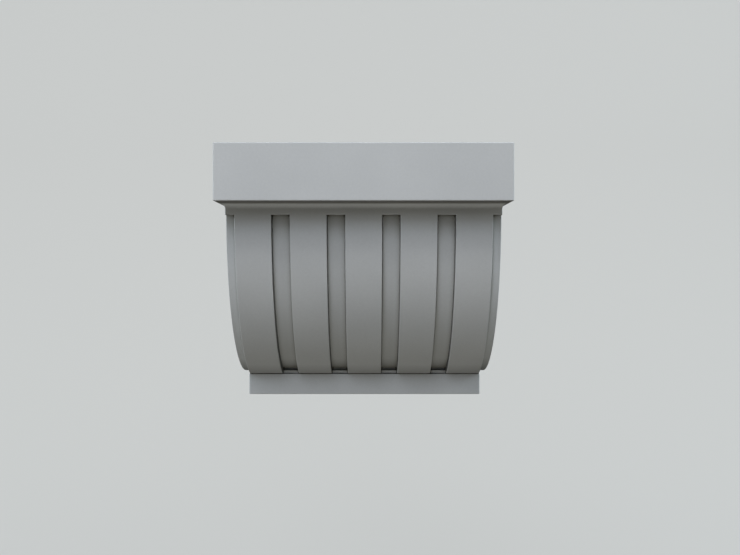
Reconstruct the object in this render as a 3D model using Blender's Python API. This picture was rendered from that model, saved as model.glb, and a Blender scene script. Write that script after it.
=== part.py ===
"""Fluted quarter-round corbel, one cast piece that is built into a wall.

Frame: +Z up, +Y into the wall, so the front looks along -Y and X runs across the face.
Origin: the middle of the flat back, half-way up, on the wall plane y = 0.

Side profile: a slab on top, a small cove and a neck band under it, then a quarter circle
struck from a centre on the wall plane that sweeps back to a base plate at the foot. The face
carries flat raised bands that follow a circle BAND_RISE proud of the body's, with sunk
flutes between them and half a flute down each outer side. A low strip above the base plate
closes the feet of the flutes.
"""
import bpy
import bmesh
import math
from mathutils import Vector, Matrix

# ---------------------------------------------------------------- driving dimensions, metres
MM = 0.001
OVERALL_H = 270.7 * MM            # slab top to underside of the base plate

SLAB_W = 300.0 * MM               # slab across the face
SLAB_H = 58.1 * MM                # slab height
SLAB_PROUD = 38.0 * MM            # slab in front of the neck and the bands

COVE_R = 5.4 * MM                 # cove under the slab, at the front and round both sides
NECK_H = 6.2 * MM                 # plain band between the cove and the flute tops

BODY_R = 185.5 * MM               # quarter circle of the sunk surface, struck from the wall
BAND_RISE = 7.5 * MM              # raised bands above the sunk surface
BANDS = 5                         # raised bands
PITCH = 57.3 * MM                 # band to band
BAND_W = 38.3 * MM                # band face
WALL_DRAFT = 0.6 * MM             # how much a flute wall leans in from its lip to its floor

PLATE_H = 24.1 * MM               # base plate
PLATE_PROUD = 0.7 * MM            # base plate beyond the feet of the bands, front and sides
DIP = 0.4 * MM                    # how far the sunk surface's lowest point enters the base plate
STRIP_H = 3.85 * MM               # low strip above the base plate that closes the flutes' feet
STRIP_BACK = 0.8 * MM             # its face behind the feet of the bands

ARRIS = 1.0 * MM                  # softened edge of the slab and the base plate
ARC_STEPS = 60                    # facets in the quarter circle
COVE_STEPS = 8                    # facets in the cove

# ---------------------------------------------------------------- what follows from them
TOP_Z = OVERALL_H / 2
FOOT_Z = -OVERALL_H / 2
SOFFIT_Z = TOP_Z - SLAB_H
PLATE_TOP_Z = FOOT_Z + PLATE_H
COVE_FOOT_Z = SOFFIT_Z - COVE_R
FLUTE_TOP_Z = COVE_FOOT_Z - NECK_H
CENTRE_Z = PLATE_TOP_Z + BODY_R - DIP      # level of the circles' centre, on y = 0
BAND_R = BODY_R + BAND_RISE
BODY_W = BANDS * PITCH                     # sunk body, across the face
BANDS_W = (BANDS - 1) * PITCH + BAND_W     # first band's lip to last band's lip
SLAB_D = BAND_R + SLAB_PROUD               # wall to slab front
FOOT_D = math.sqrt(BAND_R ** 2 - (BODY_R - DIP) ** 2)   # wall to the bands' feet
PLATE_D = FOOT_D + PLATE_PROUD
PLATE_W = BANDS_W + 2 * PLATE_PROUD
FLUTE_W = PITCH - BAND_W
INTO = 10 * MM                    # everything is built this far into the wall, then cut flat

# ---------------------------------------------------------------- clean scene, collections
for old in list(bpy.data.objects):
    bpy.data.objects.remove(old, do_unlink=True)

scene = bpy.context.scene
parts = bpy.data.collections.new("corbel_parts")
tools = bpy.data.collections.new("cutters")
scene.collection.children.link(parts)
scene.collection.children.link(tools)


def own(obj, collection):
    """Keep obj in one collection only."""
    for c in list(obj.users_collection):
        c.objects.unlink(obj)
    collection.objects.link(obj)
    return obj


def guide(obj):
    """Mark obj as a cutter or a building block that is not a part itself."""
    own(obj, tools)
    obj.display_type = 'WIRE'
    obj.hide_render = True
    return obj


def box(name, lo, hi, arris=0.0):
    """A block between two corners. Its edges are softened, except where it meets the wall."""
    bpy.ops.mesh.primitive_cube_add(size=1.0)
    obj = bpy.context.object
    obj.name = name
    lo, hi = Vector(lo), Vector(hi)
    size, mid = hi - lo, (hi + lo) / 2
    obj.data.transform(Matrix.Translation(mid) @ Matrix.Diagonal((*size, 1.0)))
    if arris > 0:
        bm = bmesh.new()
        bm.from_mesh(obj.data)
        edges = [e for e in bm.edges if any(v.co.y < 0 for v in e.verts)]
        bmesh.ops.bevel(bm, geom=edges, offset=arris, offset_type='OFFSET', segments=2,
                        profile=0.5, affect='EDGES', clamp_overlap=True)
        bm.to_mesh(obj.data)
        bm.free()
    return guide(obj)


def slice_of(name, outline, axis, length):
    """Extrude a flat outline. axis 'X': the outline is (y, z) and runs across the face.
    axis 'Y': the outline is (x, z) and runs forward, from 2 * INTO behind the wall plane."""
    curve = bpy.data.curves.new(name, 'CURVE')
    curve.dimensions = '2D'
    curve.fill_mode = 'BOTH'
    curve.extrude = length / 2
    spline = curve.splines.new('POLY')
    spline.points.add(len(outline) - 1)
    for p, (a, b) in zip(spline.points, outline):
        p.co = (a, b, 0.0, 1.0)
    spline.use_cyclic_u = True
    flat = bpy.data.objects.new(name + "_outline", curve)
    tools.objects.link(flat)
    if axis == 'X':       # local (x, y, z) -> world (z, x, y)
        flat.matrix_world = Matrix(((0, 0, 1, 0), (1, 0, 0, 0), (0, 1, 0, 0), (0, 0, 0, 1)))
    else:                 # local (x, y, z) -> world (x, -z, y), moved to reach past the wall
        flat.matrix_world = Matrix(((1, 0, 0, 0), (0, 0, -1, 2 * INTO - length / 2),
                                    (0, 1, 0, 0), (0, 0, 0, 1)))
    bpy.context.view_layer.update()
    depsgraph = bpy.context.evaluated_depsgraph_get()
    mesh = bpy.data.meshes.new_from_object(flat.evaluated_get(depsgraph))
    bm = bmesh.new()
    bm.from_mesh(mesh)
    bmesh.ops.remove_doubles(bm, verts=bm.verts, dist=0.00001)
    bmesh.ops.recalc_face_normals(bm, faces=bm.faces)
    bm.to_mesh(mesh)
    bm.free()
    obj = bpy.data.objects.new(name, mesh)
    obj.matrix_world = flat.matrix_world.copy()
    bpy.data.objects.remove(flat, do_unlink=True)
    tools.objects.link(obj)
    return guide(obj)


def combine(target, operand, operation):
    mod = target.modifiers.new(operation.lower() + "_" + operand.name, 'BOOLEAN')
    mod.operation = operation
    mod.solver = 'EXACT'
    mod.object = operand
    return mod


def quarter(radius, z_high, z_low, steps):
    """(y, z) points of the circle struck from the wall, from z_high down to z_low."""
    a0 = math.asin((z_high - CENTRE_Z) / radius)
    a1 = math.asin(max(-1.0, (z_low - CENTRE_Z) / radius))
    return [(-radius * math.cos(a0 + (a1 - a0) * i / steps),
             CENTRE_Z + radius * math.sin(a0 + (a1 - a0) * i / steps)) for i in range(steps + 1)]


def cove_offsets():
    """(how far out, z) of the neck and cove, from the neck up to the slab's underside."""
    pts = [(COVE_R * (1 - math.cos(t)), COVE_FOOT_Z + COVE_R * math.sin(t))
           for t in (math.pi / 2 * i / COVE_STEPS for i in range(COVE_STEPS + 1))]
    return pts + [(COVE_R, SOFFIT_Z + SLAB_H / 2)]


# ---------------------------------------------------------------- the body, at band level
# The side profile run across the face: cove, neck, then the quarter circle down into the base
# plate. It meets the front profile run out from the wall, which carries the same cove round
# the sides, so the two coves are mitred at the corners.
inside_slab = SOFFIT_Z + SLAB_H / 2
inside_plate = PLATE_TOP_Z - 5 * MM
cove_run = cove_offsets()

side = [(-BAND_R - out, z) for out, z in cove_run]
side = [(INTO, inside_slab)] + side[::-1]
side += quarter(BAND_R, COVE_FOOT_Z - NECK_H / 2, inside_plate, ARC_STEPS)
side += [(INTO, inside_plate)]
body = slice_of("corbel", side, 'X', SLAB_W)
own(body, parts)
body.display_type = 'TEXTURED'
body.hide_render = False

half = BODY_W / 2
right = [(half, FOOT_Z - INTO)] + [(half + out, z) for out, z in cove_run[:-1]]
right += [(half + COVE_R, TOP_Z + INTO)]
front = right + [(-x, z) for x, z in reversed(right)]
combine(body, slice_of("front_profile", front, 'Y', SLAB_D * 1.2), 'INTERSECT')

# ---------------------------------------------------------------- slab
combine(body, box("slab", (-SLAB_W / 2, -SLAB_D, SOFFIT_Z), (SLAB_W / 2, INTO, TOP_Z), ARRIS),
        'UNION')

# ---------------------------------------------------------------- flutes and side rebates
# Each cutter is the same keystone swept round the circles' centre line: FLUTE_W wide at the
# lip, a little narrower at its floor, and square at its top end.
REACH = 12 * MM                   # how far a cutter stands clear of the bands


def flute_cutter(name, x_mid):
    slope = WALL_DRAFT / BAND_RISE
    rows = ((BODY_R, FLUTE_W / 2 - WALL_DRAFT), (BAND_R + REACH, FLUTE_W / 2 + slope * REACH))
    a0 = math.asin((FLUTE_TOP_Z + 6 * MM - CENTRE_Z) / BODY_R)
    a1 = -math.radians(100)
    bm = bmesh.new()
    ring = [bm.verts.new((x_mid + sx * hw, -radius * math.cos(a0),
                          CENTRE_Z + radius * math.sin(a0)))
            for radius, hw in rows for sx in (-1, 1)]
    face = bm.faces.new((ring[0], ring[1], ring[3], ring[2]))
    bmesh.ops.spin(bm, geom=[face] + list(face.edges) + ring, cent=(0, 0, CENTRE_Z),
                   axis=(1, 0, 0), angle=a0 - a1, steps=ARC_STEPS, use_duplicate=False)
    bmesh.ops.bisect_plane(bm, geom=list(bm.verts) + list(bm.edges) + list(bm.faces),
                           dist=0.0000005, plane_co=(0, 0, FLUTE_TOP_Z), plane_no=(0, 0, 1),
                           clear_outer=True)
    bmesh.ops.holes_fill(bm, edges=[e for e in bm.edges if e.is_boundary], sides=0)
    bmesh.ops.recalc_face_normals(bm, faces=bm.faces)
    mesh = bpy.data.meshes.new(name)
    bm.to_mesh(mesh)
    bm.free()
    obj = bpy.data.objects.new(name, mesh)
    tools.objects.link(obj)
    return guide(obj)


for i in range(BANDS + 1):
    # the first and the last stand half outside the body and leave the side rebates
    cutter = flute_cutter("flute_%d" % i, (i - BANDS / 2) * PITCH)
    combine(body, cutter, 'DIFFERENCE')

# ---------------------------------------------------------------- base plate, and the flat back
# The strip's ends lie inside the two outer bands, so it shows only in the flutes.
strip_half = BANDS_W / 2 - 2 * MM
combine(body, box("strip", (-strip_half, -FOOT_D + STRIP_BACK, PLATE_TOP_Z - 5 * MM),
                  (strip_half, INTO, PLATE_TOP_Z + STRIP_H)), 'UNION')
combine(body, box("base_plate", (-PLATE_W / 2, -PLATE_D, FOOT_Z),
                  (PLATE_W / 2, INTO, PLATE_TOP_Z), ARRIS), 'UNION')
combine(body, box("wall", (-SLAB_W, 0.0, -OVERALL_H), (SLAB_W, 5 * INTO, OVERALL_H)),
        'DIFFERENCE')

# ---------------------------------------------------------------- finish
finish = bpy.data.materials.new("matt_plaster")
finish.use_nodes = True
bsdf = finish.node_tree.nodes["Principled BSDF"]
bsdf.inputs["Base Color"].default_value = (0.62, 0.63, 0.64, 1.0)
bsdf.inputs["Roughness"].default_value = 0.85
bsdf.inputs["Metallic"].default_value = 0.0
body.data.materials.clear()
body.data.materials.append(finish)
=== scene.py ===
"""Looks of the fluted quarter-round corbel: the casting as a fine mesh with rounded arrises, its
matt painted-plaster finish, soft studio light, a pale seamless floor and the camera."""

import math

import bmesh
import bpy
from mathutils import Matrix, Vector


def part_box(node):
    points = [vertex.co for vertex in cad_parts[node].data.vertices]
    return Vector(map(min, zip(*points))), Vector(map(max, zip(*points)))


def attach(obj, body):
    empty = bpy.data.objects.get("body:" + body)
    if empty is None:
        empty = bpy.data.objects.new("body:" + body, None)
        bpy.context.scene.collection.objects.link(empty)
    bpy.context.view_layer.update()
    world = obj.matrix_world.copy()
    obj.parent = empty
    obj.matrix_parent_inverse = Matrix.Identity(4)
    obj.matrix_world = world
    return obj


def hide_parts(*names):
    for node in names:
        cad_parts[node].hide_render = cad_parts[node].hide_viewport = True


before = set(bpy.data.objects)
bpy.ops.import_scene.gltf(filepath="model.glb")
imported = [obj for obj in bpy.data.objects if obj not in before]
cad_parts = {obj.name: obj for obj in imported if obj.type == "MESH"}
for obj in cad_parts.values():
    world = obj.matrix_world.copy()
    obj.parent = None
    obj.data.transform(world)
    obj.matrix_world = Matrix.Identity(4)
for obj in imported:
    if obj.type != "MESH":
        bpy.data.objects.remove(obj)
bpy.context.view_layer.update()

# ---------------------------------------------------------------- sizes, metres (the CAD's own)
MM = 0.001
lo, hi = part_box("corbel")
TOP_Z, FOOT_Z = hi.z, lo.z
SLAB_W, SLAB_D = hi.x - lo.x, hi.y - lo.y
SLAB_H = 58.1 * MM
SLAB_PROUD = 38.0 * MM
COVE_R = 5.4 * MM
NECK_H = 6.2 * MM
BAND_RISE = 7.5 * MM
BANDS = 5
PITCH = 57.3 * MM
BAND_W = 38.3 * MM
WALL_DRAFT = 0.6 * MM
PLATE_H = 24.1 * MM
PLATE_PROUD = 0.7 * MM
DIP = 0.4 * MM
STRIP_H = 3.85 * MM
STRIP_BACK = 0.8 * MM

BAND_R = SLAB_D - SLAB_PROUD
BODY_R = BAND_R - BAND_RISE
SOFFIT_Z = TOP_Z - SLAB_H
COVE_FOOT_Z = SOFFIT_Z - COVE_R
FLUTE_TOP_Z = COVE_FOOT_Z - NECK_H
PLATE_TOP_Z = FOOT_Z + PLATE_H
CENTRE_Z = PLATE_TOP_Z + BODY_R - DIP
BODY_W = BANDS * PITCH
BANDS_W = (BANDS - 1) * PITCH + BAND_W
FLUTE_W = PITCH - BAND_W
FOOT_D = math.sqrt(BAND_R ** 2 - (BODY_R - DIP) ** 2)
PLATE_D = FOOT_D + PLATE_PROUD
PLATE_W = BANDS_W + 2 * PLATE_PROUD
INTO = 10 * MM                    # built this far into the wall, then cut flat at y = 0

ARRIS = 1.0 * MM                  # rounding of the slab's and the plate's edges
LIP = 0.55 * MM                   # rounding of the bands' lips
NOOK = 0.35 * MM                  # fillet where a flute's wall meets its floor
CORNER = 0.9 * MM                 # rounding of the body's upright outer corners
STRIP_ARRIS = 0.4 * MM            # rounding of the strip's top edge
FILL_BACK = 2.4 * MM              # plaster in the gap above the strip, this far behind its face
FILL_H = 3.6 * MM                 # its block runs up this far past the strip's top, into the body

# ---------------------------------------------------------------- clean profiles


def arc(cx, cy, r, a0, a1, n):
    """n + 1 points of a circle from angle a0 to a1, in degrees."""
    return [(cx + r * math.cos(math.radians(a0 + (a1 - a0) * i / n)),
             cy + r * math.sin(math.radians(a0 + (a1 - a0) * i / n))) for i in range(n + 1)]


def spread(a, b, n):
    """n - 1 values evenly between a and b, ends left out."""
    return [a + (b - a) * i / n for i in range(1, n)]


def comb():
    """The cross-section of the body's face, left to right, as (x, depth below the bands). Each
    flute wall has a rounded lip, a little draft and a small fillet."""
    lip = arc(-LIP, LIP, LIP, -90, 0, 4)            # from the band's face round into the wall
    floor = arc(WALL_DRAFT + NOOK, BAND_RISE - NOOK, NOOK, 180, 90, 3)
    wall = [(x, d) for x, d in lip]
    for k in (1, 2, 3):
        t = k / 4
        a, b = lip[-1], floor[0]
        wall.append((a[0] + (b[0] - a[0]) * t, a[1] + (b[1] - a[1]) * t))
    wall += floor                                   # x grows into the flute
    half = BODY_W / 2
    pts = []
    for i in range(BANDS):
        mid = (i - (BANDS - 1) / 2) * PITCH
        left, right = mid - BAND_W / 2, mid + BAND_W / 2
        pts += [(left + -x, d) for x, d in reversed(wall)]
        face = [left + LIP, right - LIP]
        pts += [(x, 0.0) for x in [face[0] + 0.4 * MM] + spread(face[0] + 0.4 * MM,
                face[1] - 0.4 * MM, 14) + [face[1] - 0.4 * MM]]
        pts += [(right + x, d) for x, d in wall]
        if i < BANDS - 1:
            f0 = right + WALL_DRAFT + NOOK + 0.3 * MM
            f1 = right + FLUTE_W - WALL_DRAFT - NOOK - 0.3 * MM
            pts += [(x, BAND_RISE) for x in [f0] + spread(f0, f1, 8) + [f1]]
    edge = (BANDS - 1) / 2 * PITCH + BAND_W / 2 + WALL_DRAFT + NOOK + 0.3 * MM
    outer = half - CORNER - 0.3 * MM
    side = [edge] + spread(edge, outer, 5) + [outer]
    return [(-x, BAND_RISE) for x in reversed(side)] + pts + [(x, BAND_RISE) for x in side]


COMB = comb()
BACK_STEPS = 14


def ring(half_w, front, cut):
    """One U-shaped row, from the wall on the left, round the front, to the wall on the right.
    front(depth) gives (y, z) of a point that lies depth below the band surface there, and cut
    is how much of the comb's depth this row has."""
    stretch = (half_w - CORNER) / (BODY_W / 2 - CORNER)
    d_out = BAND_RISE * cut
    y0, z0 = front(d_out)
    pts = []
    for k in range(BACK_STEPS):
        t = k / BACK_STEPS
        pts.append((-half_w, INTO + (y0 + CORNER - INTO) * t, z0))
    for x, y in arc(-half_w + CORNER, y0 + CORNER, CORNER, 180, 270, 5):
        pts.append((x, y, z0))
    for x, d in COMB:
        y, z = front(d * cut)
        pts.append((x * stretch, y, z))
    right = [(-x, y, z) for x, y, z in pts[:BACK_STEPS + 6]]
    return pts + right[::-1]


def upright(out, z):
    """A row of the cove or slab, out beyond the neck by out = (at the sides, in front)."""
    return ring(BODY_W / 2 + out[0], (lambda d: (-(BAND_R + out[1]), z)), 0.0)


def swept(angle):
    """A row of the quarter-round body, at this angle below the level of the circle's centre."""
    c, s = math.cos(angle), math.sin(angle)
    return ring(BODY_W / 2, (lambda d: (-(BAND_R - d) * c, CENTRE_Z - (BAND_R - d) * s)), 1.0)


def level(z, cut):
    """A row of the body or neck that lies level, at height z."""
    return ring(BODY_W / 2,
                (lambda d: (-math.sqrt((BAND_R - d) ** 2 - (CENTRE_Z - z) ** 2), z)), cut)


def rows_up():
    """All rows, from the foot of the sweep up to the slab's top."""
    top_angle = math.asin((CENTRE_Z - FLUTE_TOP_Z) / BAND_R) + 2.0 * MM / BAND_R
    n = 170
    rows = [swept(math.pi / 2 + (top_angle - math.pi / 2) * i / n) for i in range(n + 1)]
    # the flutes' square top end: a fillet at its floor, a level end wall, a rounded lip
    for up, cut in ((-1.0, 1.0), (-0.6, 1.0), (-0.35, 1.0), (-0.15, 0.992), (-0.04, 0.974),
                    (0.0, 0.945), (0.01, 0.7), (0.02, 0.45), (0.03, 0.2), (0.05, 0.075),
                    (0.12, 0.035), (0.25, 0.012), (0.4, 0.002), (0.55, 0.0)):
        rows.append(level(FLUTE_TOP_Z + up * MM, cut))
    rows += [level(z, 0.0) for z in spread(FLUTE_TOP_Z + 0.55 * MM, COVE_FOOT_Z, 6)]
    for i in range(13):
        t = math.pi / 2 * i / 12
        o = COVE_R * (1 - math.cos(t))
        rows.append(upright((o, o), COVE_FOOT_Z + COVE_R * math.sin(t)))
    # underside, from the cove out to the slab's edge
    side, proud = (SLAB_W - BODY_W) / 2, SLAB_PROUD
    for t in (0.02, 0.06, 0.15, 0.3, 0.5, 0.7, 0.88, 0.97):
        rows.append(upright((COVE_R + (side - ARRIS - COVE_R) * t,
                             COVE_R + (proud - ARRIS - COVE_R) * t), SOFFIT_Z))
    for dx, dz in arc(0, 0, ARRIS, -90, 0, 6):
        rows.append(upright((side - ARRIS + dx, proud - ARRIS + dx), SOFFIT_Z + ARRIS + dz))
    z0, z1 = SOFFIT_Z + ARRIS, TOP_Z - ARRIS
    for z in [z0 + 0.3 * MM] + spread(z0 + 0.3 * MM, z1 - 0.3 * MM, 18) + [z1 - 0.3 * MM]:
        rows.append(upright((side, proud), z))
    for dx, dz in arc(0, 0, ARRIS, 0, 90, 6):
        rows.append(upright((side - ARRIS + dx, proud - ARRIS + dx), TOP_Z - ARRIS + dz))
    rows.append(upright((side - ARRIS - 0.4 * MM, proud - ARRIS - 0.4 * MM), TOP_Z))
    return rows


def stacked(name, rows):
    """A closed mesh from U-shaped rows of equal length whose ends lie behind the wall. The
    first row's face already lies on the wall plane and runs level into it."""
    bm = bmesh.new()
    grid = [[bm.verts.new(p) for p in row] for row in rows]
    last = len(rows[0]) - 1
    for a, b in zip(grid, grid[1:]):
        for j in range(last):
            bm.faces.new((a[j], a[j + 1], b[j + 1], b[j]))
    foot, k = grid[0], BACK_STEPS
    into = {j: bm.verts.new((foot[j].co.x, INTO, foot[j].co.z)) for j in range(k + 1, last - k)}
    bm.faces.new(foot[:k + 2] + [into[k + 1]])
    for j in range(k + 1, last - k - 1):
        bm.faces.new((foot[j + 1], foot[j], into[j], into[j + 1]))
    bm.faces.new([into[last - k - 1]] + foot[last - k - 1:])
    bm.faces.new(grid[-1])
    bm.faces.new([row[0] for row in grid] + [row[last] for row in reversed(grid)] +
                 [into[j] for j in reversed(sorted(into))])
    bmesh.ops.recalc_face_normals(bm, faces=bm.faces)
    mesh = bpy.data.meshes.new(name)
    bm.to_mesh(mesh)
    bm.free()
    obj = bpy.data.objects.new(name, mesh)
    bpy.context.scene.collection.objects.link(obj)
    return obj


def block(name, a, b, arris=0.0):
    """A block between two corners, its edges rounded except behind the wall plane."""
    bm = bmesh.new()
    bmesh.ops.create_cube(bm, size=1.0)
    a, b = Vector(a), Vector(b)
    bmesh.ops.transform(bm, verts=bm.verts,
                        matrix=Matrix.Translation((a + b) / 2) @ Matrix.Diagonal((*(b - a), 1)))
    if arris:
        bmesh.ops.bevel(bm, geom=[e for e in bm.edges if any(v.co.y < 0 for v in e.verts)],
                        offset=arris, offset_type='OFFSET', segments=5, profile=0.5,
                        affect='EDGES', clamp_overlap=True)
    mesh = bpy.data.meshes.new(name)
    bm.to_mesh(mesh)
    bm.free()
    obj = bpy.data.objects.new(name, mesh)
    bpy.context.scene.collection.objects.link(obj)
    return obj


def joined(target, other, operation):
    """Applies a Boolean to target for good, and removes the other object."""
    mod = target.modifiers.new(operation, 'BOOLEAN')
    mod.operation, mod.solver, mod.object = operation, 'EXACT', other
    dg = bpy.context.evaluated_depsgraph_get()
    mesh = bpy.data.meshes.new_from_object(target.evaluated_get(dg))
    target.modifiers.clear()
    target.data = mesh
    bpy.data.objects.remove(other, do_unlink=True)


# ---------------------------------------------------------------- the casting
casting = stacked("corbel_casting", rows_up())
strip_half = BANDS_W / 2 - 2 * MM
joined(casting, block("strip", (-strip_half, -FOOT_D + STRIP_BACK, PLATE_TOP_Z - 5 * MM),
                      (strip_half, INTO, PLATE_TOP_Z + STRIP_H), STRIP_ARRIS), 'UNION')
# plaster lies in the narrow end of the gap between the strip's top and the flutes' floors
joined(casting, block("fill", (-strip_half, -FOOT_D + STRIP_BACK + FILL_BACK,
                               PLATE_TOP_Z - 4 * MM),
                      (strip_half, 0.8 * INTO, PLATE_TOP_Z + STRIP_H + FILL_H)), 'UNION')
joined(casting, block("plate", (-PLATE_W / 2, -PLATE_D, FOOT_Z),
                      (PLATE_W / 2, INTO, PLATE_TOP_Z), ARRIS), 'UNION')
joined(casting, block("wall", (-SLAB_W, 0, -1), (SLAB_W, 1, 1)), 'DIFFERENCE')
closed = bmesh.new()
closed.from_mesh(casting.data)
bmesh.ops.remove_doubles(closed, verts=closed.verts, dist=0.000002)
closed.to_mesh(casting.data)
closed.free()
casting.data.shade_smooth()
casting.data.set_sharp_from_angle(angle=math.radians(32))
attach(casting, "root")
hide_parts("corbel")

# ---------------------------------------------------------------- matt painted plaster


def plaster():
    mat = bpy.data.materials.new("matt_plaster_paint")
    mat.use_nodes = True
    nt = mat.node_tree
    nodes, links = nt.nodes, nt.links
    bsdf = nodes["Principled BSDF"]
    bsdf.inputs["Metallic"].default_value = 0.0
    bsdf.inputs["Specular IOR Level"].default_value = 0.3
    where = nodes.new("ShaderNodeTexCoord")

    def tex(scale, detail, rough=0.5):
        n = nodes.new("ShaderNodeTexNoise")
        n.inputs["Scale"].default_value = scale
        n.inputs["Detail"].default_value = detail
        n.inputs["Roughness"].default_value = rough
        links.new(where.outputs["Object"], n.inputs["Vector"])
        return n

    def ramp(source, stops):
        n = nodes.new("ShaderNodeValToRGB")
        while len(n.color_ramp.elements) < len(stops):
            n.color_ramp.elements.new(0.5)
        for e, (pos, col) in zip(n.color_ramp.elements, stops):
            e.position, e.color = pos, (*col, 1)
        links.new(source, n.inputs["Fac"])
        return n

    cloud = tex(14, 4)                    # slow drift of tone across the casting
    body = ramp(cloud.outputs["Fac"], [(0.3, (0.490, 0.512, 0.528)), (0.7, (0.520, 0.542, 0.558))])
    fleck = tex(420, 3, 0.6)              # fine tooth of the paint
    tooth = ramp(fleck.outputs["Fac"], [(0.35, (0.965, 0.965, 0.965)), (0.65, (1.0, 1.0, 1.0))])
    mix = nodes.new("ShaderNodeMix")
    mix.data_type, mix.blend_type = 'RGBA', 'MULTIPLY'
    mix.inputs["Factor"].default_value = 1.0
    links.new(body.outputs["Color"], mix.inputs["A"])
    links.new(tooth.outputs["Color"], mix.inputs["B"])

    nook = nodes.new("ShaderNodeAmbientOcclusion")   # painted shade: darkens the corners and creases where shade falls
    nook.samples = 16
    nook.inputs["Distance"].default_value = 0.0025
    painted_corner_shade = ramp(nook.outputs["AO"], [(0.50, (0.34, 0.33, 0.30)), (0.76, (1.0, 1.0, 1.0))])
    dark = nodes.new("ShaderNodeMix")
    dark.data_type, dark.blend_type = 'RGBA', 'MULTIPLY'
    dark.inputs["Factor"].default_value = 1.0
    links.new(mix.outputs["Result"], dark.inputs["A"])
    links.new(painted_corner_shade.outputs["Color"], dark.inputs["B"])

    # painted shade: a broader, fainter darkening under the slab and where the bands meet the base
    # plate, where shade falls
    hollow = nodes.new("ShaderNodeAmbientOcclusion")
    hollow.samples = 16
    hollow.inputs["Distance"].default_value = 0.045
    painted_broad_shade = ramp(hollow.outputs["AO"], [(0.36, (0.44, 0.43, 0.40)), (0.72, (1.0, 1.0, 1.0))])
    broad_shaded = nodes.new("ShaderNodeMix")
    broad_shaded.data_type, broad_shaded.blend_type = 'RGBA', 'MULTIPLY'
    broad_shaded.inputs["Factor"].default_value = 1.0
    links.new(dark.outputs["Result"], broad_shaded.inputs["A"])
    links.new(painted_broad_shade.outputs["Color"], broad_shaded.inputs["B"])

    # painted shade on the flutes' upright walls: faces that look sideways and lie inside the outer
    # bands' outer lips are darkened for the shade in the flutes
    def maths(operation, source, value=None):
        n = nodes.new("ShaderNodeMath")
        n.operation = operation
        links.new(source, n.inputs[0])
        if value is not None:
            n.inputs[1].default_value = value
        return n.outputs[0]

    facing, place = nodes.new("ShaderNodeSeparateXYZ"), nodes.new("ShaderNodeSeparateXYZ")
    links.new(where.outputs["Normal"], facing.inputs[0])
    links.new(where.outputs["Object"], place.inputs[0])
    # painted shade: faces that look nearly straight down are darkened, the slab's underside and
    # the bands' feet, for the shade that lies under them
    down = nodes.new("ShaderNodeMapRange")
    down.inputs["From Min"].default_value = -0.89
    down.inputs["From Max"].default_value = -1.0
    links.new(facing.outputs["Z"], down.inputs["Value"])
    below = nodes.new("ShaderNodeMix")
    below.data_type, below.blend_type = 'RGBA', 'MULTIPLY'
    below.inputs["B"].default_value = (0.40, 0.385, 0.36, 1)
    links.new(down.outputs["Result"], below.inputs["Factor"])
    links.new(broad_shaded.outputs["Result"], below.inputs["A"])

    sideways = nodes.new("ShaderNodeMapRange")
    sideways.inputs["From Min"].default_value = 0.70
    sideways.inputs["From Max"].default_value = 0.97
    links.new(maths('ABSOLUTE', facing.outputs["X"]), sideways.inputs["Value"])
    inside = maths('LESS_THAN', maths('ABSOLUTE', place.outputs["X"]), BANDS_W / 2 - 0.6 * MM)
    masked = nodes.new("ShaderNodeMath")
    masked.operation = 'MULTIPLY'
    links.new(sideways.outputs["Result"], masked.inputs[0])
    links.new(inside, masked.inputs[1])
    # painted shade: the sideways-looking flute walls are darkened
    painted_wall_shade = nodes.new("ShaderNodeMix")
    painted_wall_shade.data_type, painted_wall_shade.blend_type = 'RGBA', 'MULTIPLY'
    painted_wall_shade.inputs["B"].default_value = (0.70, 0.69, 0.67, 1)
    links.new(masked.outputs[0], painted_wall_shade.inputs["Factor"])
    links.new(below.outputs["Result"], painted_wall_shade.inputs["A"])
    links.new(painted_wall_shade.outputs["Result"], bsdf.inputs["Base Color"])

    sheen = tex(60, 3)
    rough = nodes.new("ShaderNodeMapRange")
    rough.inputs["To Min"].default_value = 0.74
    rough.inputs["To Max"].default_value = 0.88
    links.new(sheen.outputs["Fac"], rough.inputs["Value"])
    links.new(rough.outputs["Result"], bsdf.inputs["Roughness"])

    grain = tex(900, 5, 0.6)
    wave = tex(55, 2)
    fine = nodes.new("ShaderNodeBump")
    fine.inputs["Strength"].default_value = 0.12
    fine.inputs["Distance"].default_value = 0.0002
    links.new(grain.outputs["Fac"], fine.inputs["Height"])
    soft = nodes.new("ShaderNodeBump")
    soft.inputs["Strength"].default_value = 0.10
    soft.inputs["Distance"].default_value = 0.0006
    links.new(wave.outputs["Fac"], soft.inputs["Height"])
    links.new(fine.outputs["Normal"], soft.inputs["Normal"])
    links.new(soft.outputs["Normal"], bsdf.inputs["Normal"])
    return mat


casting.data.materials.clear()
casting.data.materials.append(plaster())

# ---------------------------------------------------------------- floor and its rise behind


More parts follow.
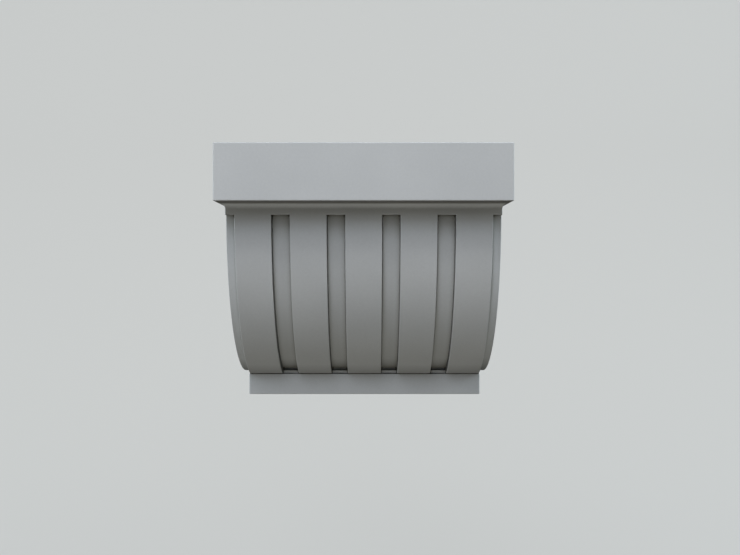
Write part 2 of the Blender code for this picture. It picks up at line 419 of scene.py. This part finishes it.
def sweep_floor(level, back, height, radius):
    """One pale sheet: floor, a smooth rise, and the backdrop behind."""
    path = [(-14.0, level)] + [(back - radius + x, level + radius + y)
                               for x, y in arc(0, 0, radius, -90, 0, 24)] + [(back, height)]
    bm = bmesh.new()
    cols = [[bm.verts.new((x, y, z)) for y, z in path] for x in (-14.0, 14.0)]
    for j in range(len(path) - 1):
        bm.faces.new((cols[0][j], cols[1][j], cols[1][j + 1], cols[0][j + 1]))
    mesh = bpy.data.meshes.new("studio_floor")
    bm.to_mesh(mesh)
    bm.free()
    mesh.shade_smooth()
    obj = bpy.data.objects.new("studio_floor", mesh)
    bpy.context.scene.collection.objects.link(obj)
    mat = bpy.data.materials.new("pale_floor")
    mat.use_nodes = True
    bsdf = mat.node_tree.nodes["Principled BSDF"]
    bsdf.inputs["Base Color"].default_value = (0.30, 0.30, 0.295, 1)
    bsdf.inputs["Roughness"].default_value = 0.9
    bsdf.inputs["Specular IOR Level"].default_value = 0.0
    bsdf.inputs["Emission Color"].default_value = (1.0, 1.0, 0.985, 1)
    bsdf.inputs["Emission Strength"].default_value = 0.34      # keeps its far parts pale too
    mesh.materials.append(mat)
    # the floor is only a ground to see the piece against: the lamps do all the lighting
    obj.visible_diffuse = obj.visible_glossy = obj.visible_shadow = False
    return obj


sweep_floor(-0.75, 2.2, 9.0, 1.2)

# ---------------------------------------------------------------- light


def area(name, azimuth, elevation, distance, width, height, power, colour=(1, 1, 1)):
    """An area light that faces the corbel. Azimuth 0 is straight in front, minus is left."""
    data = bpy.data.lights.new(name, 'AREA')
    data.shape, data.size, data.size_y = 'RECTANGLE', width, height
    data.energy, data.color = power, colour
    a, e = math.radians(azimuth), math.radians(elevation)
    place = Vector((math.sin(a) * math.cos(e), -math.cos(a) * math.cos(e), math.sin(e))) * distance
    obj = bpy.data.objects.new(name, data)
    obj.location = place
    obj.rotation_euler = (-place).to_track_quat('-Z', 'Y').to_euler()
    bpy.context.scene.collection.objects.link(obj)
    return obj


area("key_high", -3, 50, 3.0, 1.1, 0.6, 33, (0.97, 0.96, 0.92))
area("key_mid", -10, 40, 3.0, 1.0, 0.6, 16, (0.97, 0.95, 1.0))
area("key_soft", -8, 30, 3.0, 0.9, 0.6, 17, (0.85, 0.91, 1.0))
area("key_low", 0, 20, 3.0, 0.8, 0.6, 7.5, (0.85, 0.91, 1.0))
area("left_rim", -88, 28, 3.0, 0.6, 1.1, 50, (0.84, 0.97, 1.0))
area("left_low", -80, -8, 3.0, 0.6, 0.6, 20)
area("right_rim", 88, 28, 3.0, 0.6, 1.1, 74, (0.84, 0.96, 1.0))
area("low_bounce", 0, -45, 3.0, 0.8, 0.6, 19, (1.0, 0.95, 0.82))

world = bpy.data.worlds.new("studio")
bpy.context.scene.world = world
world.use_nodes = True
world.node_tree.nodes["Background"].inputs["Color"].default_value = (0.9, 0.95, 1.0, 1)
world.node_tree.nodes["Background"].inputs["Strength"].default_value = 0.015
bpy.context.scene.view_settings.view_transform = 'Standard'

# ---------------------------------------------------------------- camera: straight on
cam_data = bpy.data.cameras.new("camera")
cam_data.sensor_width = 36.0
cam_data.lens = 36.0 * 1010.0 / 740.0
cam = bpy.data.objects.new("camera", cam_data)
cam.location = (0.0065, -1.235, 0.00085)
cam.rotation_euler = (math.radians(90), 0, 0)
bpy.context.scene.collection.objects.link(cam)
bpy.context.scene.camera = cam
